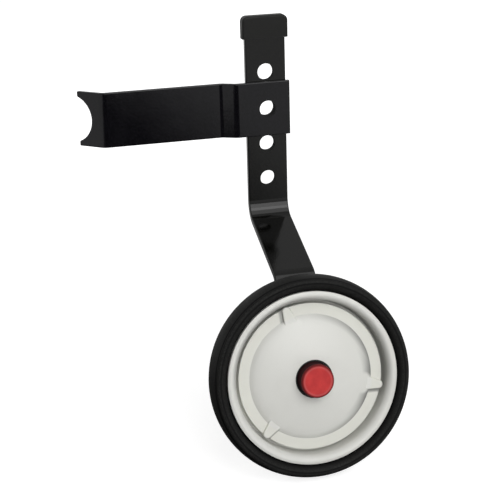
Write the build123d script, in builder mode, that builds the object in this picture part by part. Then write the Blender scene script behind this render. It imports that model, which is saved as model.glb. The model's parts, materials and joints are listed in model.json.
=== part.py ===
from build123d import *
import os
from math import cos, radians, sin, tan

# Bicycle training wheel for the left side: a cranked strip leg, a frame brace and a moulded wheel on a bolt.
# Millimetres. +Z runs up the leg, -Y points out from the bicycle and -X points to its front.
# The origin is the centre of the second axle hole, on the leg's inner face.

# Leg
leg_width = 26.0
leg_thickness = 4.0
leg_edge_round = 0.8
leg_top = 56.7
hole_pitch = 23.0
upper_hole_radius = 5.25
lower_hole_radius = 5.0
first_bend_height = -69.7
first_bend_radius = 13.5
second_bend_radius = 10.0
slope_angle = 68.8
camber_angle = 12.0
bolt_hole_radius = 4.1

# Leg end cap
cap_wall = 1.65
cap_bottom = 44.3
cap_corner_radius = 3.8
cap_edge_round = 1.2

# Frame brace
brace_width = 34.5
brace_thickness = 3.0
brace_edge_round = 0.6
brace_leg_gap = 0.5
brace_right_end = 14.4
joggle_plate_end = -20.0
joggle_arm_end = -28.5
joggle_radius = 6.0
fold_distance = -104.0
fold_radius = 6.0
fold_angle = 42.0
flange_length = 18.2
notch_radius = 15.0
notch_depth = 9.8
notch_tip_round = 1.0

# Wheel place and tyre; heights count from the tyre's middle plane, positive outwards along the axle
wheel_centre = Vector(0, -91.0, -147.9)
leg_behind_wheel = 16.0
tyre_radius = 62.5
tyre_wall_middle = (54.6, 9.2)
tyre_widest = (57.6, 11.3)
tyre_shoulder = (59.5, 10.9)
tread_edge = (60.7, 9.3)

# Rim: front lip rolled over from the groove's outer wall, lower lip at the back
rim_lip_radius = 53.0
rim_seat_radius = 49.8
rim_lip_height = 8.6
bead_height = 5.2
seat_height = 4.2
lip_shoulder = (52.1, 8.97)
lip_start = (51.2, 9.1)
roll_middle = (48.7, 7.95)
roll_start = (47.6, 5.0)
back_lip_edge = (53.0, -6.4)
back_lip_crest = (51.4, -7.6)
back_lip_start = (48.8, -7.3)
barrel_radius = 47.2

# Groove inside the rim, flat ring, disc and ribs
groove_outer_radius = 47.3
groove_floor = -3.6
groove_round = 0.8
groove_back_radius = 42.8
web_back = -6.0
ring_outer_radius = 45.2
ring_inner_radius = 38.4
ring_front = 2.1
ring_back = -0.3
ring_edge_round = 0.5
disc_edge = (34.0, 4.6)
disc_edge_round = (36.5, 3.5)
disc_front_middle = (23.4, 7.8)
disc_front_height = 9.9
disc_back_foot = 38.8
disc_back_edge = (34.0, 1.9)
disc_back_middle = (24.0, 5.0)
disc_back_height = 6.7
ring_rib_count = 3
ring_rib_angle = -13.5
ring_rib_root_width = 9.0
ring_rib_tip_width = 5.4
ring_rib_round = 0.9
ring_rib_inside = 34.4
ring_rib_reach = 46.2
ring_rib_top = 3.9
back_rib_count = 6
back_rib_angle = 20.0
back_rib_thickness = 2.2
back_rib_back = -7.0
rib_overlap = 1.0

# Hub and bushes
recess_radius = 11.7
recess_floor = 0.5
hub_bore_radius = 8.6
hub_tube_radius = 11.8
hub_shell_radius = 14.4
hub_shell_back = -1.6
hub_back = -10.6
cup_inner_radius = 10.75
cup_height = 9.5
bush_floor = 1.5
bush_flange_radius = 11.2
outer_bush_back = -4.5
inner_bush_front = -5.0
end_play = 0.3
running_clearance = 0.06

# Axle bolt, washers, nut and cap
sleeve_radius = 6.0
sleeve_bore_radius = 4.1
bolt_radius = 4.0
bolt_length = 35.0
bolt_tip_chamfer = 0.8
bolt_head_height = 5.3
hex_flats = 13.0
hex_corner_radius = 7.55
hex_chamfer_radius = 6.3
hex_chamfer_height = 0.7
washer_thickness = 1.6
washer_hole_radius = 4.2
outer_washer_radius = 9.5
inner_washer_radius = 9.0
leg_washer_radius = 8.0
nut_hex_height = 6.0
nut_collar_height = 2.0
nut_collar_radius = 6.1
nut_bore_radius = 4.05
insert_radius = 5.3
insert_seat = 0.2
insert_height = 2.0
axle_cap_radius = 10.2
axle_cap_height = 13.9
axle_cap_edge_round = 1.0
axle_cap_socket_flats = 13.1
axle_cap_socket_depth = 8.2
axle_cap_cavity_radius = 4.8
axle_cap_cavity_depth = 11.8

# Directions and planes that the wheel and the foot of the leg share
outward = Vector(0, -cos(radians(camber_angle)), sin(radians(camber_angle)))
wheel_plane = Plane(origin=wheel_centre, x_dir=(1, 0, 0), z_dir=outward)
foot_plane = wheel_plane.offset(-leg_behind_wheel)
axle = Axis(wheel_centre, outward)


def radial_plane(angle):
    spoke = wheel_plane.x_dir.rotate(Axis((0, 0, 0), outward), angle)
    return Plane(origin=wheel_centre, x_dir=spoke, z_dir=spoke.cross(outward))


section = radial_plane(0)

# Heights along the axle, from the bolt head to the cap
foot_front = -leg_behind_wheel + leg_thickness / 2
foot_back = -leg_behind_wheel - leg_thickness / 2
head_front = foot_back - washer_thickness
sleeve_back = foot_front + washer_thickness
inner_bush_back = sleeve_back + end_play
cup_floor = recess_floor + bush_floor
sleeve_front = cup_floor + end_play
nut_back = sleeve_front + washer_thickness
collar_back = nut_back + nut_hex_height
nut_front = collar_back + nut_collar_height
insert_back = collar_back - insert_seat
bush_bore_radius = sleeve_radius + running_clearance

# Path of the leg in its side plane: upright, sloped run, cambered foot
leg_middle = -leg_thickness / 2
foot_centre = foot_plane.origin
foot_up = wheel_plane.y_dir
drop = foot_centre - Vector(0, leg_middle, first_bend_height)
slope_length = drop.dot(outward) / sin(radians(slope_angle - camber_angle))
slope_run = slope_length * sin(radians(slope_angle))
slope_drop = slope_length * cos(radians(slope_angle))
foot_end = foot_centre - foot_up * (leg_width / 2 + 1)

with BuildPart() as leg_bar:
    with BuildLine(Plane.YZ) as leg_path:
        FilletPolyline(
            (leg_middle, leg_top),
            (leg_middle, first_bend_height),
            (leg_middle - slope_run, first_bend_height - slope_drop),
            (foot_end.Y, foot_end.Z),
            radius=[first_bend_radius, second_bend_radius],
        )
    with BuildSketch(Plane(origin=leg_path.line @ 0, x_dir=(1, 0, 0), z_dir=leg_path.line % 0)):
        RectangleRounded(leg_width, leg_thickness, leg_edge_round)
    sweep()
    with BuildSketch(foot_plane):
        Rectangle(1.2 * leg_width, leg_width, align=(Align.CENTER, Align.MAX))
        Circle(leg_width / 2, mode=Mode.SUBTRACT)
        Circle(bolt_hole_radius)
    extrude(amount=leg_thickness, both=True, mode=Mode.SUBTRACT)
    with BuildSketch(Plane.XZ):
        with Locations((0, hole_pitch), (0, 0)):
            Circle(upper_hole_radius)
        with Locations((0, -hole_pitch), (0, -2 * hole_pitch)):
            Circle(lower_hole_radius)
    extrude(amount=2 * leg_thickness, mode=Mode.SUBTRACT)

with BuildPart() as leg_end_cap:
    with BuildSketch(Plane.XZ.offset(-leg_middle)):
        with Locations((0, cap_bottom)):
            cap_width = leg_width + 2 * cap_wall
            cap_height = leg_top + cap_wall - cap_bottom
            Rectangle(cap_width, cap_height, align=(Align.CENTER, Align.MIN))
        fillet(vertices().group_by(Axis.Y)[-1], cap_corner_radius)
    extrude(amount=leg_thickness / 2 + cap_wall, both=True)
    outline = faces().filter_by(Axis.Y).edges()
    fillet(outline.filter_by_position(Axis.Z, cap_bottom + 0.1, leg_top + 2 * cap_wall), cap_edge_round)
    with BuildSketch(Plane.XY.offset(cap_bottom)):
        with Locations((0, leg_middle)):
            RectangleRounded(leg_width, leg_thickness, leg_edge_round)
    extrude(amount=leg_top - cap_bottom, mode=Mode.SUBTRACT)

# Path of the brace in plan: plate over the leg, joggle, arm flush with the leg's back, flange folded inwards
plate_middle = -leg_thickness - brace_leg_gap - brace_thickness / 2
arm_middle = -brace_thickness / 2
fold_middle = fold_distance + brace_thickness / 2 * tan(radians(fold_angle / 2))
flange_direction = Vector(-cos(radians(fold_angle)), sin(radians(fold_angle)), 0)
flange_normal = Vector(-sin(radians(fold_angle)), -cos(radians(fold_angle)), 0)
flange_plane = Plane(origin=(fold_distance, -brace_thickness, 0), x_dir=flange_direction, z_dir=flange_normal)
flange_end = Vector(fold_middle, arm_middle, 0) + flange_direction * (flange_length + brace_thickness)

with BuildPart() as frame_brace:
    with BuildLine(Plane.XY) as brace_path:
        FilletPolyline(
            (brace_right_end, plate_middle),
            (joggle_plate_end, plate_middle),
            (joggle_arm_end, arm_middle),
            (fold_middle, arm_middle),
            (flange_end.X, flange_end.Y),
            radius=[joggle_radius, joggle_radius, fold_radius],
        )
    with BuildSketch(Plane(origin=brace_path.line @ 0, x_dir=(0, 0, 1), z_dir=brace_path.line % 0)):
        RectangleRounded(brace_width, brace_thickness, brace_edge_round)
    sweep()
    with BuildSketch(flange_plane):
        with Locations((flange_length - notch_depth + notch_radius, 0)):
            Circle(notch_radius)
        with Locations((flange_length, 0)):
            Rectangle(3 * notch_radius, 2 * brace_width, align=(Align.MIN, Align.CENTER))
        tips = vertices().filter_by_position(Axis.Y, -brace_width / 2, brace_width / 2)
        fillet(tips.group_by(Axis.X)[0], notch_tip_round)
    extrude(amount=2 * brace_thickness, both=True, mode=Mode.SUBTRACT)
    with BuildSketch(Plane.XZ.offset(leg_thickness)):
        Circle(upper_hole_radius)
    extrude(amount=2 * brace_thickness, mode=Mode.SUBTRACT)

with BuildPart() as tyre:
    with BuildSketch(section):
        with BuildLine():
            Polyline((rim_seat_radius, 0), (rim_seat_radius, seat_height), (rim_lip_radius, bead_height))
            ThreePointArc((rim_lip_radius, bead_height), tyre_wall_middle, tyre_widest)
            ThreePointArc(tyre_widest, tyre_shoulder, tread_edge)
            mirror(about=Plane.XZ)
            ThreePointArc(tread_edge, (tyre_radius, 0), (tread_edge[0], -tread_edge[1]))
        make_face()
    revolve(axis=axle)

# One rib across the flat ring: flush with the disc inside, narrower and rounded at its tip over the groove
with BuildPart() as ring_rib:
    with BuildSketch(section):
        with BuildLine():
            Polyline(
                (ring_rib_inside, ring_rib_top),
                (ring_rib_reach, ring_rib_top),
                (ring_rib_reach, ring_front - ring_edge_round),
                (ring_inner_radius - rib_overlap, ring_front - ring_edge_round),
                (ring_rib_inside, ring_rib_top - rib_overlap),
                close=True,
            )
        make_face()
    extrude(amount=ring_rib_root_width, both=True)
    with BuildSketch(wheel_plane):
        with BuildLine():
            tip_start = ring_rib_reach - ring_rib_tip_width / 2
            Polyline(
                (tip_start, -ring_rib_tip_width / 2),
                (ring_rib_inside, -ring_rib_root_width / 2),
                (ring_rib_inside, ring_rib_root_width / 2),
                (tip_start, ring_rib_tip_width / 2),
            )
            ThreePointArc(
                (tip_start, ring_rib_tip_width / 2),
                (ring_rib_reach, 0),
                (tip_start, -ring_rib_tip_width / 2),
            )
        make_face()
    extrude(amount=ring_rib_reach, mode=Mode.INTERSECT)
    top_edges = faces().sort_by(axle)[-1].edges()
    fillet(top_edges.sort_by_distance(wheel_centre)[1:], ring_rib_round)

with BuildPart() as wheel_body:
    with BuildSketch(section):
        with BuildLine():
            ThreePointArc((recess_radius, disc_front_height), disc_front_middle, disc_edge)
            ThreePointArc(disc_edge, disc_edge_round, (ring_inner_radius, ring_front))
            FilletPolyline(
                (ring_inner_radius, ring_front),
                (ring_outer_radius, ring_front),
                (ring_outer_radius, groove_floor),
                (groove_outer_radius, groove_floor),
                roll_start,
                radius=[ring_edge_round, groove_round, groove_round],
            )
            ThreePointArc(roll_start, roll_middle, lip_start)
            ThreePointArc(lip_start, lip_shoulder, (rim_lip_radius, rim_lip_height))
            Polyline(
                (rim_lip_radius, rim_lip_height),
                (rim_lip_radius, bead_height),
                (rim_seat_radius, seat_height),
                (rim_seat_radius, -seat_height),
                (rim_lip_radius, -bead_height),
                back_lip_edge,
            )
            ThreePointArc(back_lip_edge, back_lip_crest, back_lip_start)
            Polyline(
                back_lip_start,
                (barrel_radius, back_lip_start[1]),
                (barrel_radius, web_back),
                (groove_back_radius, web_back),
                (groove_back_radius, ring_back),
                (disc_back_foot, ring_back),
                disc_back_edge,
            )
            ThreePointArc(disc_back_edge, disc_back_middle, (hub_shell_radius, disc_back_height))
            Polyline(
                (hub_shell_radius, disc_back_height),
                (hub_shell_radius, hub_shell_back),
                (hub_tube_radius, hub_shell_back - hub_shell_radius + hub_tube_radius),
                (hub_tube_radius, hub_back),
                (hub_bore_radius, hub_back),
                (hub_bore_radius, recess_floor),
                (recess_radius, recess_floor),
                (recess_radius, disc_front_height),
            )
        make_face()
    revolve(axis=axle)
    for index in range(ring_rib_count):
        add(ring_rib.part.rotate(axle, ring_rib_angle + 360 / ring_rib_count * index))
    for index in range(back_rib_count):
        with BuildSketch(radial_plane(back_rib_angle + 360 / back_rib_count * index)):
            with BuildLine():
                Polyline(
                    (hub_tube_radius - rib_overlap, back_rib_back),
                    (barrel_radius + rib_overlap, back_rib_back),
                    (barrel_radius + rib_overlap, web_back + rib_overlap),
                    (groove_back_radius + rib_overlap, web_back + rib_overlap),
                    (groove_back_radius + rib_overlap, ring_back + rib_overlap),
                    (disc_back_foot, ring_back + rib_overlap),
                    (disc_back_edge[0], disc_back_edge[1] + rib_overlap),
                    (disc_back_middle[0], disc_back_middle[1] + rib_overlap),
                    (hub_shell_radius - rib_overlap, disc_back_height + rib_overlap),
                    (hub_shell_radius - rib_overlap, hub_shell_back),
                    (hub_tube_radius - rib_overlap, hub_shell_back - hub_shell_radius + hub_tube_radius),
                    close=True,
                )
            make_face()
        extrude(amount=back_rib_thickness / 2, both=True)

with BuildPart() as outer_bush:
    with BuildSketch(section):
        with BuildLine():
            Polyline(
                (bush_bore_radius, cup_floor),
                (cup_inner_radius, cup_floor),
                (cup_inner_radius, cup_height),
                (recess_radius, cup_height),
                (recess_radius, recess_floor),
                (hub_bore_radius, recess_floor),
                (hub_bore_radius, outer_bush_back),
                (bush_bore_radius, outer_bush_back),
                close=True,
            )
        make_face()
    revolve(axis=axle)

with BuildPart() as inner_bush:
    with BuildSketch(section):
        with BuildLine():
            Polyline(
                (bush_bore_radius, inner_bush_back),
                (bush_flange_radius, inner_bush_back),
                (bush_flange_radius, hub_back),
                (hub_bore_radius, hub_back),
                (hub_bore_radius, inner_bush_front),
                (bush_bore_radius, inner_bush_front),
                close=True,
            )
        make_face()
    revolve(axis=axle)


def turned_ring(inner_radius, outer_radius, back, front):
    with BuildPart() as ring:
        with BuildSketch(wheel_plane.offset(back)):
            Circle(outer_radius)
            Circle(inner_radius, mode=Mode.SUBTRACT)
        extrude(amount=front - back)
    return ring


axle_sleeve = turned_ring(sleeve_bore_radius, sleeve_radius, sleeve_back, sleeve_front)
leg_washer = turned_ring(washer_hole_radius, leg_washer_radius, head_front, foot_back)
inner_washer = turned_ring(washer_hole_radius, inner_washer_radius, foot_front, sleeve_back)
outer_washer = turned_ring(washer_hole_radius, outer_washer_radius, sleeve_front, nut_back)
lock_nut_insert = turned_ring(nut_bore_radius, insert_radius, insert_back, insert_back + insert_height)

with BuildPart() as axle_bolt:
    head_back = head_front - bolt_head_height
    with BuildSketch(wheel_plane.offset(head_back)):
        RegularPolygon(hex_flats / 2, 6, major_radius=False)
    extrude(amount=bolt_head_height)
    with BuildSketch(section):
        with BuildLine():
            Polyline(
                (0, head_back),
                (hex_chamfer_radius, head_back),
                (hex_corner_radius, head_back + hex_chamfer_height),
                (hex_corner_radius, head_front),
                (0, head_front),
                close=True,
            )
        make_face()
    revolve(axis=axle, mode=Mode.INTERSECT)
    with BuildSketch(wheel_plane.offset(head_front)):
        Circle(bolt_radius)
    extrude(amount=bolt_length)
    chamfer(edges().sort_by(axle)[-1], bolt_tip_chamfer)

with BuildPart() as lock_nut:
    with BuildSketch(wheel_plane.offset(nut_back)):
        RegularPolygon(hex_flats / 2, 6, major_radius=False)
    extrude(amount=nut_hex_height)
    with BuildSketch(section):
        with BuildLine():
            Polyline(
                (0, nut_back),
                (hex_chamfer_radius, nut_back),
                (hex_corner_radius, nut_back + hex_chamfer_height),
                (hex_corner_radius, collar_back - hex_chamfer_height),
                (hex_chamfer_radius, collar_back),
                (0, collar_back),
                close=True,
            )
        make_face()
    revolve(axis=axle, mode=Mode.INTERSECT)
    with BuildSketch(wheel_plane.offset(collar_back)):
        Circle(nut_collar_radius)
    extrude(amount=nut_collar_height)
    with BuildSketch(wheel_plane.offset(nut_back)):
        Circle(nut_bore_radius)
    extrude(amount=nut_front - nut_back, mode=Mode.SUBTRACT)
    with BuildSketch(wheel_plane.offset(insert_back)):
        Circle(insert_radius)
    extrude(amount=nut_front - insert_back, mode=Mode.SUBTRACT)

with BuildPart() as axle_cap:
    with BuildSketch(wheel_plane.offset(nut_back)):
        Circle(axle_cap_radius)
    extrude(amount=axle_cap_height)
    fillet(edges().sort_by(axle)[-1], axle_cap_edge_round)
    with BuildSketch(wheel_plane.offset(nut_back)):
        RegularPolygon(axle_cap_socket_flats / 2, 6, major_radius=False)
    extrude(amount=axle_cap_socket_depth, mode=Mode.SUBTRACT)
    with BuildSketch(wheel_plane.offset(nut_back)):
        Circle(axle_cap_cavity_radius)
    extrude(amount=axle_cap_cavity_depth, mode=Mode.SUBTRACT)

nodes = {
    "leg_bar": leg_bar,
    "leg_end_cap": leg_end_cap,
    "axle_bolt": axle_bolt,
    "leg_washer": leg_washer,
    "inner_washer": inner_washer,
    "axle_sleeve": axle_sleeve,
    "outer_washer": outer_washer,
    "lock_nut": lock_nut,
    "lock_nut_insert": lock_nut_insert,
    "axle_cap": axle_cap,
    "tyre": tyre,
    "wheel_body": wheel_body,
    "outer_bush": outer_bush,
    "inner_bush": inner_bush,
    "frame_brace": frame_brace,
}

os.makedirs("parts", exist_ok=True)
for name, node in nodes.items():
    node.part.label = name
    export_step(node.part, f"parts/{name}.step")
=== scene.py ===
import json
from math import atan2, cos, pi, radians, sin

import bpy
from mathutils import Matrix, Vector


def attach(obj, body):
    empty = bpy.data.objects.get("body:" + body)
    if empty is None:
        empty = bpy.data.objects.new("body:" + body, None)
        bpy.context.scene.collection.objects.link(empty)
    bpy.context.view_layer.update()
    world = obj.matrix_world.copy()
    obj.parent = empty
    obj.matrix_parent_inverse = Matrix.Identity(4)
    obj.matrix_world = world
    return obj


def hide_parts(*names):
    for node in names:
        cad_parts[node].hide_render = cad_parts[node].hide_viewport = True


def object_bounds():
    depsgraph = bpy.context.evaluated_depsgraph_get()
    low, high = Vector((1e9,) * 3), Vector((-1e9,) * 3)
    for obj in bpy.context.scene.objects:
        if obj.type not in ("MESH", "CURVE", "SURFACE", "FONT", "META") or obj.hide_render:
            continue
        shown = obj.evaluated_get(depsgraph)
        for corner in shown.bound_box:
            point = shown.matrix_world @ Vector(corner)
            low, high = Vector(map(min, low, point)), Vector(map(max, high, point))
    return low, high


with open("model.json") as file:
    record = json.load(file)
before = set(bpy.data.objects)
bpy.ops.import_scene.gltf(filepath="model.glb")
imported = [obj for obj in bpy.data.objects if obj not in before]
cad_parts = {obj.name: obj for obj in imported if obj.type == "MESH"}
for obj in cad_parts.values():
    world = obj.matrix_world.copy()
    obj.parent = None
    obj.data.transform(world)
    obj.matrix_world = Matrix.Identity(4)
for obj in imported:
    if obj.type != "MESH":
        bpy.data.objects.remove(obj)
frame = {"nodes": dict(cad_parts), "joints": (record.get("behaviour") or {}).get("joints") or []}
nodes = frame["nodes"]
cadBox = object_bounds()
mm = 0.001
print("frame loaded,", len(nodes), "nodes")

# the wheel's middle and axle, from the joint that it spins on, and the turn that sets a flat ring on it
spin = next(joint for joint in frame["joints"] if joint["name"] == "wheel_spin")
wheelMiddle = Vector(spin["pos_m"])
axleDirection = Vector(spin["axis"])
axleTurn = atan2(-axleDirection.y, axleDirection.z)


def feed(tree, socket, value):  # links another socket, or sets a plain value
    if isinstance(value, bpy.types.NodeSocket):
        tree.links.new(value, socket)
    else:
        socket.default_value = value


def addNode(tree, kind, inputs=None, **settings):
    node = tree.nodes.new(kind)
    for name, value in settings.items():
        setattr(node, name, value)
    for name, value in (inputs or {}).items():
        feed(tree, node.inputs[name], value)
    return node


def addMath(tree, operation, first, second=0.0):
    return addNode(tree, "ShaderNodeMath", {0: first, 1: second}, operation=operation).outputs[0]


def addProduct(tree, first, *others):
    for other in others:
        first = addMath(tree, "MULTIPLY", first, other)
    return first


def addDistance(tree, value, middle):  # how far a value is from a middle value, either way
    return addMath(tree, "ABSOLUTE", addMath(tree, "SUBTRACT", value, middle))


def addVector(tree, operation, first, second=(0.0, 0.0, 0.0)):
    return addNode(tree, "ShaderNodeVectorMath", {0: first, 1: second}, operation=operation).outputs


def addRange(tree, value, start, end, newStart=0.0, newEnd=1.0):
    sizes = {"Value": value, "From Min": start, "From Max": end, "To Min": newStart, "To Max": newEnd}
    return addNode(tree, "ShaderNodeMapRange", sizes).outputs["Result"]


def addMix(tree, amount, first, second):  # sockets 0, 6 and 7 are the colour mix's own
    return addNode(tree, "ShaderNodeMix", {0: amount, 6: first, 7: second}, data_type="RGBA").outputs[2]


number = "NodeSocketFloat"
vector = "NodeSocketVector"


def startGroup(name, inputs, outputs, treeKind="ShaderNodeTree"):
    group = bpy.data.node_groups.new(name, treeKind)
    for socketName, kind in inputs.items():
        group.interface.new_socket(socketName, in_out="INPUT", socket_type=kind)
    for socketName, kind in outputs.items():
        group.interface.new_socket(socketName, in_out="OUTPUT", socket_type=kind)
    entry = group.nodes.new("NodeGroupInput")
    leave = group.nodes.new("NodeGroupOutput")
    return group, entry.outputs, leave.inputs


def grainGroup():  # fine surface grain and slow unevenness
    inputs = {"Vector": vector, "Grain Scale": number, "Patch Scale": number}
    group, entry, leave = startGroup("surfaceGrain", inputs, {"Grain": number, "Patches": number})
    fine = {"Vector": entry["Vector"], "Scale": entry["Grain Scale"], "Detail": 4.0, "Roughness": 0.6}
    slow = {"Vector": entry["Vector"], "Scale": entry["Patch Scale"], "Detail": 3.0, "Roughness": 0.55}
    for name, noise in (("Grain", fine), ("Patches", slow)):
        feed(group, leave[name], addNode(group, "ShaderNodeTexNoise", noise).outputs["Fac"])
    return group


scratches = {
    "detail": 2.0, "distortion": 0.4, "lineSpan": (0.66, 0.74),
    "spotScale": 28.0, "spotSpan": (0.52, 0.66),
}


def scuffGroup():  # sparse fine scratches from handling, in spots
    inputs = {"Vector": vector, "Scale": number, "Stretch": vector}
    group, entry, leave = startGroup("handlingScuffs", inputs, {"Mask": number})
    pulled = addVector(group, "MULTIPLY", entry["Vector"], entry["Stretch"])["Vector"]
    lines = {
        "Vector": pulled, "Scale": entry["Scale"],
        "Detail": scratches["detail"], "Distortion": scratches["distortion"],
    }
    spots = {"Vector": entry["Vector"], "Scale": scratches["spotScale"], "Detail": scratches["detail"]}
    streaks = addNode(group, "ShaderNodeTexNoise", lines).outputs["Fac"]
    places = addNode(group, "ShaderNodeTexNoise", spots).outputs["Fac"]
    thin = addRange(group, streaks, *scratches["lineSpan"])
    feed(group, leave["Mask"], addProduct(group, thin, addRange(group, places, *scratches["spotSpan"])))
    return group


def wheelGroup():  # radius from the axle, height along it and place across it, in millimetres
    outputs = {"Radius": number, "Height": number, "Across": vector}
    group, entry, leave = startGroup("wheelMeasure", {"Vector": vector}, outputs)
    moved = addVector(group, "SUBTRACT", entry["Vector"], wheelMiddle)["Vector"]
    turn = {"Vector": moved, "Angle": -axleTurn, "Axis": (1.0, 0.0, 0.0)}
    level = addNode(group, "ShaderNodeVectorRotate", turn, rotation_type="AXIS_ANGLE").outputs["Vector"]
    inMillimetres = addVector(group, "DIVIDE", level, (mm, mm, mm))["Vector"]
    parts = addNode(group, "ShaderNodeSeparateXYZ", {"Vector": inMillimetres}).outputs
    across = addNode(group, "ShaderNodeCombineXYZ", {"X": parts["X"], "Y": parts["Y"]}).outputs["Vector"]
    feed(group, leave["Radius"], addVector(group, "LENGTH", across)["Value"])
    feed(group, leave["Height"], parts["Z"])
    feed(group, leave["Across"], across)
    return group


groups = {"grain": grainGroup(), "scuffs": scuffGroup(), "wheel": wheelGroup()}
print("shared surface effects ready")

noiseSpan = {"slow": (0.3, 0.7), "fine": (0.38, 0.62)}  # where most of the two noises lies


def placeGroup(tree, name, inputs):
    return addNode(tree, "ShaderNodeGroup", inputs, node_tree=groups[name]).outputs


def startMaterial(name, look):
    material = bpy.data.materials.new(name)
    material.use_nodes = True
    tree = material.node_tree
    place = addNode(tree, "ShaderNodeTexCoord").outputs["Object"]
    scales = {"Vector": place, "Grain Scale": look["grainScale"], "Patch Scale": look["patchScale"]}
    return material, tree, place, placeGroup(tree, "grain", scales)


def addScuffs(tree, place, scale, stretch):
    return placeGroup(tree, "scuffs", {"Vector": place, "Scale": scale, "Stretch": stretch})["Mask"]


def mottled(tree, surface):  # patches broken up by the grain
    speckle = addRange(tree, surface["Grain"], *noiseSpan["fine"])
    return addProduct(tree, addMath(tree, "ADD", surface["Patches"], speckle), 0.5)


def patchyGloss(tree, surface, look):
    return addRange(tree, surface["Patches"], *noiseSpan["slow"], look["smooth"], look["rough"])


def wavyGrain(tree, surface, look):
    return addMath(tree, "ADD", surface["Grain"], addProduct(tree, surface["Patches"], look["wave"]))


def finishMaterial(tree, look, colour, roughness, height):
    shader = tree.nodes["Principled BSDF"].inputs
    shader["Specular IOR Level"].default_value = look["specular"]
    bump = {"Height": height, "Strength": look["bumpStrength"], "Distance": look["bumpDepth"] * mm}
    feed(tree, shader["Base Color"], colour)
    feed(tree, shader["Roughness"], roughness)
    feed(tree, shader["Normal"], addNode(tree, "ShaderNodeBump", bump).outputs["Normal"])


paint = {
    "leg": {
        "dark": (0.0006, 0.0006, 0.0005, 1), "light": (0.005, 0.005, 0.0042, 1),
        "scuffStretch": (6.0, 1.0, 1.0),
    },
    "brace": {
        "dark": (0.0006, 0.0006, 0.001, 1), "light": (0.0052, 0.0048, 0.0068, 1),
        "scuffStretch": (1.0, 1.0, 6.0),
    },
    "scuff": (0.015, 0.015, 0.015, 1), "scuffScale": 260.0, "scuffCover": 0.35, "scuffRough": 0.2,
    "grainScale": 700.0, "patchScale": 40.0, "smooth": 0.07, "rough": 0.13, "specular": 0.25,
    "wave": 5.0, "bumpStrength": 0.18, "bumpDepth": 0.1,
    # the row of axle holes, in millimetres, with dull walls
    "holePitch": 23.0, "holeEdge": 5.32, "holeRow": (-52.0, 29.0), "holeRough": 0.9,
}


def holeWalls(tree, place):  # one on the walls of the axle holes
    parts = addNode(tree, "ShaderNodeSeparateXYZ", {"Vector": place}).outputs
    half = paint["holePitch"] / 2 * mm
    lowest, highest = paint["holeRow"]
    along = addNode(tree, "ShaderNodeMath", {0: parts["Z"], 1: half, 2: -half}, operation="WRAP").outputs[0]
    across = addNode(tree, "ShaderNodeCombineXYZ", {"X": parts["X"], "Y": along}).outputs["Vector"]
    distance = addVector(tree, "LENGTH", across)["Value"]
    inside = addMath(tree, "LESS_THAN", distance, paint["holeEdge"] * mm)
    above = addMath(tree, "GREATER_THAN", parts["Z"], lowest * mm)
    below = addMath(tree, "LESS_THAN", parts["Z"], highest * mm)
    return addProduct(tree, inside, above, below)


def powderCoat(name, coat):
    material, tree, place, surface = startMaterial(name, paint)
    marks = addScuffs(tree, place, paint["scuffScale"], coat["scuffStretch"])
    plain = addMix(tree, mottled(tree, surface), coat["dark"], coat["light"])
    colour = addMix(tree, addProduct(tree, marks, paint["scuffCover"]), plain, paint["scuff"])
    dulled = addProduct(tree, marks, paint["scuffRough"])
    worn = addMath(tree, "ADD", patchyGloss(tree, surface, paint), dulled)
    walls = addProduct(tree, holeWalls(tree, place), paint["holeRough"])
    roughness = addMath(tree, "MAXIMUM", worn, walls)
    finishMaterial(tree, paint, colour, roughness, wavyGrain(tree, surface, paint))
    return material


endCapVinyl = {
    "dark": (0.0055, 0.0055, 0.005, 1), "light": (0.0105, 0.0105, 0.0098, 1), "specular": 0.16,
    "grainScale": 900.0, "patchScale": 90.0, "smooth": 0.42, "rough": 0.58,
    "bumpStrength": 0.2, "bumpDepth": 0.1,
}
bushNylon = {
    "dark": (0.005, 0.005, 0.005, 1), "light": (0.01, 0.01, 0.01, 1), "specular": 0.35,
    "grainScale": 800.0, "patchScale": 120.0, "smooth": 0.36, "rough": 0.5,
    "bumpStrength": 0.15, "bumpDepth": 0.08,
}
nutInsertNylon = {
    "dark": (0.7, 0.7, 0.662, 1), "light": (0.705, 0.705, 0.63, 1), "specular": 0.5,
    "grainScale": 700.0, "patchScale": 150.0, "smooth": 0.4, "rough": 0.55,
    "bumpStrength": 0.1, "bumpDepth": 0.05,
}


def plainPlastic(name, look):
    material, tree, _, surface = startMaterial(name, look)
    colour = addMix(tree, surface["Patches"], look["dark"], look["light"])
    finishMaterial(tree, look, colour, patchyGloss(tree, surface, look), surface["Grain"])
    return material


moulding = {
    "clean": (0.7, 0.7, 0.662, 1), "warm": (0.705, 0.705, 0.63, 1), "specular": 0.4,
    # the dark colour at the end of the next line is painted shade, for the disc's foot, the rim's hollow and
    # beside the ribs
    "dust": (0.5, 0.49, 0.46, 1), "dustSpan": (0.5, 0.8), "dustCover": 0.18, "paintedShade": (0.2, 0.2, 0.19, 1),
    "grainScale": 700.0, "patchScale": 34.0, "smooth": 0.34, "rough": 0.48,
    "wave": 3.0, "bumpStrength": 0.06, "bumpDepth": 0.2,
    "scuffScale": 300.0, "scuffStretch": (1.0, 6.0, 1.0), "scuffCover": 0.12,
    "ring": (38.4, 45.2), "ringFade": (-0.8, 0.4), "ringWarmth": 0.6,  # the flat ring is a little yellower
}
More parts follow.
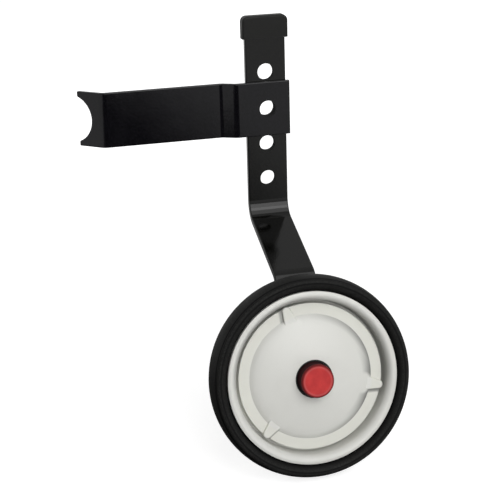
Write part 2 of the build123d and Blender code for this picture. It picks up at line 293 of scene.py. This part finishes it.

# where shade is painted on the moulding, stronger on one side of the wheel: radii and heights in
# millimetres, sides and rib angles in degrees
paintedShading = {
    "discFoot": [
        {"rise": (33.6, 37.9), "fall": (38.35, 38.4), "side": 0.0, "spread": (0.0, 0.9), "amount": 0.85},
        {"rise": (31.6, 38.0), "fall": (38.35, 38.4), "side": -14.0, "spread": (0.75, 0.97), "amount": 0.97},
    ],
    "rimHollow": [
        {"rise": (46.2, 46.7), "fall": (47.8, 50.6), "side": 78.0, "spread": (-0.35, 0.15), "amount": 0.6},
        {"rise": (46.2, 46.8), "fall": (48.4, 50.8), "side": 128.0, "spread": (0.45, 0.9), "amount": 0.93},
    ],
    "farSide": 0.1,  # share that is left on a band's far side
    "backHeight": -3.7,  # the bands end at this height
    # painted shadows beside the ribs, each on one side only
    "ribCorners": [
        {"angle": 106.5, "side": 1, "width": 2.6, "amount": 0.7},
        {"angle": 226.5, "side": 1, "width": 1.2, "amount": 0.75},
        {"angle": -13.5, "side": -1, "width": 2.8, "amount": 0.85},
    ],
    "cornerEdge": -0.3, "cornerFull": 0.5,  # where a corner starts, and the share of its width that is full
    "cornerHeights": (1.0, 3.6), "cornerStart": (36.6, 38.2), "cornerEnd": (45.1, 45.4),
}

# the ribs' plan, radius then half width, the line under their tops, and the spot at their roots that the
# painted shade leaves out
ribs = {
    "root": (34.4, 4.5), "tip": (43.5, 2.7), "topRadius": 34.0, "topHeight": 5.05, "topSlope": -0.57,
    "unshadedRadius": 33.0, "unshadedReach": (5.4, 7.2),
}


def wheelDirection(degrees):
    return Vector((cos(radians(degrees)), sin(radians(degrees)), 0.0))


def paintedShadeBand(tree, measure, band):  # a ring of painted shade between radii, mostly on one side of the wheel
    towards = addVector(tree, "DOT_PRODUCT", measure["Across"], wheelDirection(band["side"]))["Value"]
    nearness = addMath(tree, "DIVIDE", towards, measure["Radius"])
    onSide = addRange(tree, nearness, *band["spread"], paintedShading["farSide"], 1.0)
    rise = addRange(tree, measure["Radius"], *band["rise"])
    fall = addRange(tree, measure["Radius"], *band["fall"], band["amount"], 0.0)
    front = addMath(tree, "GREATER_THAN", measure["Height"], paintedShading["backHeight"])
    return addProduct(tree, rise, fall, onSide, front)


def paintedCornerShadow(tree, measure, corner):  # a painted shadow in the corner between the ring and one side of a rib
    outward = wheelDirection(corner["angle"])
    sideways = wheelDirection(corner["angle"] + 90 * corner["side"])
    along = addVector(tree, "DOT_PRODUCT", measure["Across"], outward)["Value"]
    aside = addVector(tree, "DOT_PRODUCT", measure["Across"], sideways)["Value"]
    rootRadius, rootHalf = ribs["root"]
    tipRadius, tipHalf = ribs["tip"]
    ribSide = addRange(tree, along, rootRadius, tipRadius, rootHalf, tipHalf)
    gap = addMath(tree, "SUBTRACT", aside, ribSide)
    start = addRange(tree, gap, paintedShading["cornerEdge"], 0.0)
    width = corner["width"]
    fade = addRange(tree, gap, width * paintedShading["cornerFull"], width, corner["amount"], 0.0)
    inner = addRange(tree, along, *paintedShading["cornerStart"])
    outer = addRange(tree, measure["Radius"], *paintedShading["cornerEnd"], 1.0, 0.0)
    lowest, highest = paintedShading["cornerHeights"]
    above = addMath(tree, "GREATER_THAN", measure["Height"], lowest)
    below = addMath(tree, "LESS_THAN", measure["Height"], highest)
    return addProduct(tree, start, fade, inner, outer, above, below)


def betweenRibs(tree, measure):  # nought on the ribs and where they run out into the disc
    outward = addMath(tree, "SUBTRACT", measure["Radius"], ribs["topRadius"])
    topLine = addMath(tree, "ADD", addProduct(tree, outward, ribs["topSlope"]), ribs["topHeight"])
    clear = addMath(tree, "LESS_THAN", measure["Height"], topLine)
    for corner in paintedShading["ribCorners"]:
        root = wheelDirection(corner["angle"]) * ribs["unshadedRadius"]
        away = addVector(tree, "DISTANCE", measure["Across"], root)["Value"]
        clear = addProduct(tree, clear, addRange(tree, away, *ribs["unshadedReach"]))
    return clear


def wheelPaintedShade(tree, measure):  # painted shade at the foot of the disc and in the hollow of the rim, and painted shadow beside the ribs
    onDisc = betweenRibs(tree, measure)
    masks = [addProduct(tree, paintedShadeBand(tree, measure, band), onDisc) for band in paintedShading["discFoot"]]
    masks += [paintedShadeBand(tree, measure, band) for band in paintedShading["rimHollow"]]
    masks += [paintedCornerShadow(tree, measure, corner) for corner in paintedShading["ribCorners"]]
    paintedShade = masks[0]
    for mask in masks[1:]:
        paintedShade = addMath(tree, "MAXIMUM", paintedShade, mask)
    return paintedShade


def whiteMoulding():
    material, tree, place, surface = startMaterial("wheelPlastic", moulding)
    measure = placeGroup(tree, "wheel", {"Vector": place})
    marks = addScuffs(tree, place, moulding["scuffScale"], moulding["scuffStretch"])
    inner, outer = moulding["ring"]
    offRing = addDistance(tree, measure["Radius"], (inner + outer) / 2)
    fade = [(outer - inner) / 2 + reach for reach in moulding["ringFade"]]
    warmth = addRange(tree, offRing, *fade, moulding["ringWarmth"], 0.0)
    plain = addMix(tree, warmth, moulding["clean"], moulding["warm"])
    dustCover = addRange(tree, surface["Patches"], *moulding["dustSpan"], 0.0, moulding["dustCover"])
    dusty = addMix(tree, dustCover, plain, moulding["dust"])
    # painted shade and shadow at the disc's foot, in the rim's hollow and beside the ribs
    withPaintedShade = addMix(tree, wheelPaintedShade(tree, measure), dusty, moulding["paintedShade"])
    colour = addMix(tree, addProduct(tree, marks, moulding["scuffCover"]), withPaintedShade, moulding["dust"])
    gloss = patchyGloss(tree, surface, moulding)
    finishMaterial(tree, moulding, colour, gloss, wavyGrain(tree, surface, moulding))
    return material


# tyre section in millimetres: radius from the axle, then height from the middle plane
tyre = {
    "seat": (49.8, 4.2), "bead": (53.0, 5.2), "wall": (54.6, 9.2), "widest": (57.6, 11.27),
    "shoulder": (59.5, 10.87), "treadEdge": (60.66, 9.28), "tread": (62.44, 0.0),
    "middleRadius": 56.0, "around": 256, "wallSteps": 36, "shoulderSteps": 20, "treadSteps": 60,
    "grooves": [
        {"at": (57.8, 11.3), "halfWidth": 0.8, "depth": 0.22},
        {"at": (60.6, 9.5), "halfWidth": 0.7, "depth": 0.35},
    ],
}

rubber = {
    "dark": (0.002, 0.002, 0.002, 1), "light": (0.0195, 0.0195, 0.0185, 1), "specular": 0.12,
    "grainScale": 1100.0, "patchScale": 45.0, "smooth": 0.58, "rough": 0.74,
    "bumpStrength": 0.25, "bumpDepth": 0.12,
    "bead": (0.0008, 0.0008, 0.0008, 1), "creviceShadeReach": (54.2, 56.2),  # painted shade in the crevice beside the rim
    # the first colour on the next line is painted shade in the grooves
    "paintedGrooveShade": (0.0012, 0.0012, 0.0012, 1), "grooveFloor": 0.3,
    "ringPace": 5.2, "ringShare": 0.12,  # fine rings from the mould
}


def tyreRubber():
    material, tree, place, surface = startMaterial("tyreRubber", rubber)
    measure = placeGroup(tree, "wheel", {"Vector": place})
    wall = addMix(tree, mottled(tree, surface), rubber["dark"], rubber["light"])
    # painted shade in each groove
    for groove in tyre["grooves"]:
        off = addDistance(tree, measure["Radius"], groove["at"][0])
        halfWidth = groove["halfWidth"]
        shade = addRange(tree, off, halfWidth * rubber["grooveFloor"], halfWidth, 1.0, 0.0)
        wall = addMix(tree, shade, wall, rubber["paintedGrooveShade"])
    # painted shade in the crevice beside the rim
    paintedCreviceShade = addRange(tree, measure["Radius"], *rubber["creviceShadeReach"], 1.0, 0.0)
    colour = addMix(tree, paintedCreviceShade, wall, rubber["bead"])
    rings = addMath(tree, "SINE", addProduct(tree, measure["Radius"], rubber["ringPace"]))
    height = addMath(tree, "ADD", surface["Grain"], addProduct(tree, rings, rubber["ringShare"]))
    finishMaterial(tree, rubber, colour, patchyGloss(tree, surface, rubber), height)
    return material


redCap = {
    "deep": (0.46, 0.033, 0.034, 1), "bright": (0.57, 0.044, 0.042, 1), "blotchSpan": (0.35, 0.65),
    "grainScale": 600.0, "patchScale": 160.0, "smooth": 0.36, "rough": 0.5, "specular": 0.16,
    "wave": 4.0, "bumpStrength": 0.12, "bumpDepth": 0.2,
    "scuff": (0.6, 0.1, 0.1, 1), "scuffScale": 420.0, "scuffStretch": (1.0, 1.0, 3.0), "scuffCover": 0.5,
    # painted highlight near the face's edge, painted shade on the side and at the rim; millimetres in from
    # the rim and down from the face
    "paintedEdgeHighlight": (0.45, 0.14, 0.14, 1), "edgeInset": 1.75, "edgeHalf": 0.8, "edgeHighlightCover": 0.4,
    "side": (0.03, 0.005, 0.006, 1), "sideShadeDrop": (0.4, 1.8), "sideRough": 0.9,
    "rimShadeInset": (1.4, 0.8), "rimShadeCover": 0.75,
}


def capRed():
    material, tree, place, surface = startMaterial("axleCapRed", redCap)
    measure = placeGroup(tree, "wheel", {"Vector": place})
    offsets = [corner.co - wheelMiddle for corner in nodes["axle_cap"].data.vertices]
    top = max(offset.dot(axleDirection) for offset in offsets) / mm
    radius = max(offset.cross(axleDirection).length for offset in offsets) / mm
    # painted shade on the cap's side and at the rim of its face
    side = addRange(tree, measure["Height"], *[top - drop for drop in redCap["sideShadeDrop"]])
    rimShadeSpan = [radius - inset for inset in redCap["rimShadeInset"]]
    rimShade = addRange(tree, measure["Radius"], *rimShadeSpan, 0.0, redCap["rimShadeCover"])
    shaded = addMath(tree, "MAXIMUM", side, rimShade)
    blotches = addRange(tree, surface["Patches"], *redCap["blotchSpan"])
    plain = addMix(tree, blotches, redCap["deep"], redCap["bright"])
    marks = addScuffs(tree, place, redCap["scuffScale"], redCap["scuffStretch"])
    scuffed = addMix(tree, addProduct(tree, marks, redCap["scuffCover"]), plain, redCap["scuff"])
    # a painted highlight ring just inside the face's edge
    offEdge = addDistance(tree, measure["Radius"], radius - redCap["edgeInset"])
    edgeHighlight = addRange(tree, offEdge, 0.0, redCap["edgeHalf"], redCap["edgeHighlightCover"], 0.0)
    face = addMix(tree, edgeHighlight, scuffed, redCap["paintedEdgeHighlight"])
    colour = addMix(tree, shaded, face, redCap["side"])
    dull = addProduct(tree, shaded, redCap["sideRough"])
    roughness = addMath(tree, "MAXIMUM", patchyGloss(tree, surface, redCap), dull)
    finishMaterial(tree, redCap, colour, roughness, wavyGrain(tree, surface, redCap))
    return material


steel = {
    "bright": (0.62, 0.62, 0.6, 1), "dull": (0.45, 0.45, 0.44, 1), "specular": 0.5, "metallic": 1.0,
    "grainScale": 900.0, "patchScale": 130.0, "smooth": 0.24, "rough": 0.42,
    "bumpStrength": 0.1, "bumpDepth": 0.03,
    "turnPace": 24.0,  # turning marks, in radians a millimetre
}


def zincSteel():
    material, tree, place, surface = startMaterial("zincSteel", steel)
    measure = placeGroup(tree, "wheel", {"Vector": place})
    turned = addMath(tree, "SINE", addProduct(tree, measure["Radius"], steel["turnPace"]))
    colour = addMix(tree, surface["Patches"], steel["bright"], steel["dull"])
    height = addMath(tree, "ADD", surface["Grain"], turned)
    finishMaterial(tree, steel, colour, patchyGloss(tree, surface, steel), height)
    tree.nodes["Principled BSDF"].inputs["Metallic"].default_value = steel["metallic"]
    return material


finishes = {
    "leg": powderCoat("legPowderCoat", paint["leg"]),
    "brace": powderCoat("bracePowderCoat", paint["brace"]),
    "vinyl": plainPlastic("endCapVinyl", endCapVinyl),
    "white": whiteMoulding(),
    "rubber": tyreRubber(),
    "nylon": plainPlastic("bushNylon", bushNylon),
    "red": capRed(),
    "steel": zincSteel(),
    "insert": plainPlastic("nutInsertNylon", nutInsertNylon),
}
print("finishes ready:", ", ".join(finishes))

nodeFinish = {
    "leg_bar": "leg", "leg_end_cap": "vinyl", "frame_brace": "brace", "wheel_body": "white",
    "tyre": "rubber", "outer_bush": "nylon", "inner_bush": "nylon", "axle_cap": "red",
    "axle_bolt": "steel", "leg_washer": "steel", "inner_washer": "steel", "axle_sleeve": "steel",
    "outer_washer": "steel", "lock_nut": "steel", "lock_nut_insert": "insert",
}
for nodeName, finish in nodeFinish.items():
    slots = nodes[nodeName].data.materials
    slots.clear()
    slots.append(finishes[finish])
print("finishes on the solids")


def arcThrough(first, through, last, count):  # points on the circle through three points, without the last
    start = Vector(first)
    toMiddle = Vector(through) - start
    toEnd = Vector(last) - start
    acrossEnd = Vector((toEnd.y, -toEnd.x)) * toMiddle.length_squared
    acrossMiddle = Vector((toMiddle.y, -toMiddle.x)) * toEnd.length_squared
    centre = start + (acrossEnd - acrossMiddle) / (2 * toMiddle.cross(toEnd))
    swing = -(start - centre).angle_signed(Vector(last) - centre)
    return [centre + Matrix.Rotation(swing * step / count, 2) @ (start - centre) for step in range(count)]


def tyreSection():
    def below(name):
        return (tyre[name][0], -tyre[name][1])

    points = [Vector(tyre["seat"])]
    points += arcThrough(tyre["bead"], tyre["wall"], tyre["widest"], tyre["wallSteps"])
    points += arcThrough(tyre["widest"], tyre["shoulder"], tyre["treadEdge"], tyre["shoulderSteps"])
    points += arcThrough(tyre["treadEdge"], tyre["tread"], below("treadEdge"), tyre["treadSteps"])
    points += arcThrough(below("treadEdge"), below("shoulder"), below("widest"), tyre["shoulderSteps"])
    points += arcThrough(below("widest"), below("wall"), below("bead"), tyre["wallSteps"])
    points += [Vector(below("bead")), Vector(below("seat"))]
    points.reverse()  # so that the faces point outwards
    core = Vector((tyre["middleRadius"], 0))
    for groove in tyre["grooves"]:
        for point in points:
            distance = (Vector((point.x, abs(point.y))) - Vector(groove["at"])).length
            if distance < groove["halfWidth"]:
                sink = groove["depth"] * (1 + cos(pi * distance / groove["halfWidth"])) / 2
                point -= (point - core).normalized() * sink
    return points


def tyreTree():
    inputs = {
        "Section": "NodeSocketGeometry", "Middle Radius": number,
        "Around": "NodeSocketInt", "Material": "NodeSocketMaterial",
    }
    tree, entry, leave = startGroup("tyreLathe", inputs, {"Tyre": "NodeSocketGeometry"}, "GeometryNodeTree")
    section = addNode(tree, "GeometryNodeMeshToCurve", {"Mesh": entry["Section"]}).outputs[0]
    sizes = {"Resolution": entry["Around"], "Radius": entry["Middle Radius"]}
    ring = addNode(tree, "GeometryNodeCurvePrimitiveCircle", sizes, mode="RADIUS").outputs[0]
    level = addNode(tree, "GeometryNodeSetCurveNormal", {"Curve": ring}, mode="Z_UP").outputs[0]
    skin = addNode(tree, "GeometryNodeCurveToMesh", {"Curve": level, "Profile Curve": section}).outputs[0]
    smooth = addNode(tree, "GeometryNodeSetShadeSmooth", {"Geometry": skin}).outputs[0]
    real = addNode(tree, "GeometryNodeRealizeInstances", {"Geometry": smooth}).outputs[0]
    coat = {"Geometry": real, "Material": entry["Material"]}
    painted = addNode(tree, "GeometryNodeSetMaterial", coat).outputs[0]
    feed(tree, leave["Tyre"], painted)
    return tree


def makeTyre():
    middleRadius = tyre["middleRadius"]
    corners = [((point.x - middleRadius) * mm, point.y * mm, 0.0) for point in tyreSection()]
    edges = [(index, (index + 1) % len(corners)) for index in range(len(corners))]
    outline = bpy.data.meshes.new("tyreSection")
    outline.from_pydata(corners, edges, [])
    holder = bpy.data.objects.new("tyreSection", outline)
    bpy.context.scene.collection.objects.link(holder)
    tree = tyreTree()
    lathe = holder.modifiers.new("lathe", "NODES")
    lathe.node_group = tree
    values = {"Middle Radius": middleRadius * mm, "Around": tyre["around"], "Material": finishes["rubber"]}
    for name, value in values.items():
        lathe[tree.interface.items_tree[name].identifier] = value
    mesh = bpy.data.meshes.new_from_object(holder.evaluated_get(bpy.context.evaluated_depsgraph_get()))
    bpy.data.objects.remove(holder)
    mesh.transform(Matrix.Translation(wheelMiddle) @ Matrix.Rotation(axleTurn, 4, "X"))
    piece = bpy.data.objects.new("tyreSkin", mesh)
    bpy.context.scene.collection.objects.link(piece)
    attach(piece, "wheel")
    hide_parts("tyre")
    return piece


tyreSkin = makeTyre()
print("tyre lathed,", len(tyreSkin.data.polygons), "faces")

# floor, lamps and sky, in metres and watts
studio = {
    "floorSize": 14.0, "floorColour": (0.86, 0.86, 0.86, 1), "shadowColour": (0.516, 0.516, 0.516, 1),
    "white": (1.0, 1.0, 1.0, 1), "floorGlow": 0.8, "glowReach": (0.35, 0.9),
    "darkZone": {"middle": (-0.25, -0.68, 0.0), "reach": (0.45, 1.4), "fade": (0.69, 0.99), "level": 0.05},
    "ambient": 0.06, "skyInGloss": 0.75,
    "lamps": [
        {"name": "keySoftbox", "place": (0.24, -1.46, 0.65), "size": 1.2, "power": 15.2, "inGloss": True},
        {"name": "upperSoftbox", "place": (0.16, -1.0, 1.16), "size": 1.2, "power": 8.0, "inGloss": True},
        {"name": "backSoftbox", "place": (-0.3, 1.6, 0.25), "size": 1.2, "power": 17.0, "inGloss": False},
    ],
}


def seenInGloss(tree, path):  # one for rays that show the background in a reflection or through glass
    return addMath(tree, "MAXIMUM", path["Is Glossy Ray"], path["Is Transmission Ray"])


def cameraStand(tree, place):  # the floor where the camera stands, which shows dark in the gloss
    zone = studio["darkZone"]
    acrossReach, alongReach = zone["reach"]
    away = addVector(tree, "SUBTRACT", place, zone["middle"])["Vector"]
    scaled = addVector(tree, "MULTIPLY", away, (1 / acrossReach, 1 / alongReach, 0.0))["Vector"]
    distance = addVector(tree, "LENGTH", scaled)["Value"]
    return addRange(tree, distance, *zone["fade"], zone["level"], 1.0)


def addGlow(tree, strength):
    glow = {"Color": studio["white"], "Strength": strength}
    return addNode(tree, "ShaderNodeEmission", glow).outputs["Emission"]


def floorMaterial():
    material = bpy.data.materials.new("studioFloor")
    material.use_nodes = True
    tree = material.node_tree
    tree.nodes.clear()
    place = addNode(tree, "ShaderNodeTexCoord").outputs["Object"]
    path = addNode(tree, "ShaderNodeLightPath").outputs
    matt = addNode(tree, "ShaderNodeBsdfDiffuse", {"Color": studio["floorColour"]}).outputs[0]
    shadowed = addNode(tree, "ShaderNodeBsdfDiffuse", {"Color": studio["shadowColour"]}).outputs[0]
    away = addVector(tree, "LENGTH", place)["Value"]
    pale = addGlow(tree, addRange(tree, away, *studio["glowReach"], studio["floorGlow"], 1.0))
    seen = addNode(tree, "ShaderNodeAddShader", {0: pale, 1: shadowed}).outputs[0]  # white, with the shadow
    direct = addNode(tree, "ShaderNodeMixShader", {0: path["Is Camera Ray"], 1: matt, 2: seen}).outputs[0]
    mirrored = addGlow(tree, cameraStand(tree, place))
    inGloss = seenInGloss(tree, path)
    mixed = addNode(tree, "ShaderNodeMixShader", {0: inGloss, 1: direct, 2: mirrored}).outputs[0]
    addNode(tree, "ShaderNodeOutputMaterial", {"Surface": mixed})
    return material


def makeFloor():
    half = studio["floorSize"] / 2
    height = cadBox[0].z
    mesh = bpy.data.meshes.new("studioFloor")
    corners = [(-half, -half, height), (half, -half, height), (half, half, height), (-half, half, height)]
    mesh.from_pydata(corners, [], [(0, 1, 2, 3)])
    mesh.materials.append(floorMaterial())
    floor = bpy.data.objects.new("studioFloor", mesh)
    bpy.context.scene.collection.objects.link(floor)


def makeWorld():
    world = bpy.data.worlds.new("studioWorld")
    world.use_nodes = True
    bpy.context.scene.world = world
    tree = world.node_tree
    tree.nodes.clear()
    path = addNode(tree, "ShaderNodeLightPath").outputs
    mirrored = addRange(tree, seenInGloss(tree, path), 0.0, 1.0, studio["ambient"], studio["skyInGloss"])
    strength = addMath(tree, "MAXIMUM", path["Is Camera Ray"], mirrored)
    sky = addNode(tree, "ShaderNodeBackground", {"Color": studio["white"], "Strength": strength})
    addNode(tree, "ShaderNodeOutputWorld", {"Surface": sky.outputs[0]})


def makeLamps():
    target = (cadBox[0] + cadBox[1]) / 2
    for lamp in studio["lamps"]:
        light = bpy.data.lights.new(lamp["name"], "AREA")
        light.shape = "SQUARE"
        light.size = lamp["size"]
        light.energy = lamp["power"]
        holder = bpy.data.objects.new(lamp["name"], light)
        holder.location = lamp["place"]
        holder.rotation_euler = (target - Vector(lamp["place"])).to_track_quat("-Z", "Y").to_euler()
        holder.visible_glossy = lamp["inGloss"]
        bpy.context.scene.collection.objects.link(holder)


viewpoint = {
    "place": Vector((-209.89, -791.61, 184.62)) * mm,
    "lookAt": Vector((-18.88, -25.72, -86.09)) * mm,
    "roll": -1.678, "lens": 94.47, "sensor": 36.0, "nearest": 10 * mm,
}


def makeCamera():
    data = bpy.data.cameras.new("viewpoint")
    data.lens = viewpoint["lens"]
    data.sensor_width = viewpoint["sensor"]
    data.sensor_fit = "HORIZONTAL"
    data.clip_start = viewpoint["nearest"]
    camera = bpy.data.objects.new("viewpoint", data)
    level = (viewpoint["lookAt"] - viewpoint["place"]).to_track_quat("-Z", "Y").to_matrix().to_4x4()
    roll = Matrix.Rotation(radians(viewpoint["roll"]), 4, "Z")
    camera.matrix_world = Matrix.Translation(viewpoint["place"]) @ level @ roll
    bpy.context.scene.collection.objects.link(camera)
    bpy.context.scene.camera = camera


makeFloor()
makeWorld()
makeLamps()
makeCamera()
bpy.context.scene.view_settings.view_transform = "Standard"
print("studio and camera ready")
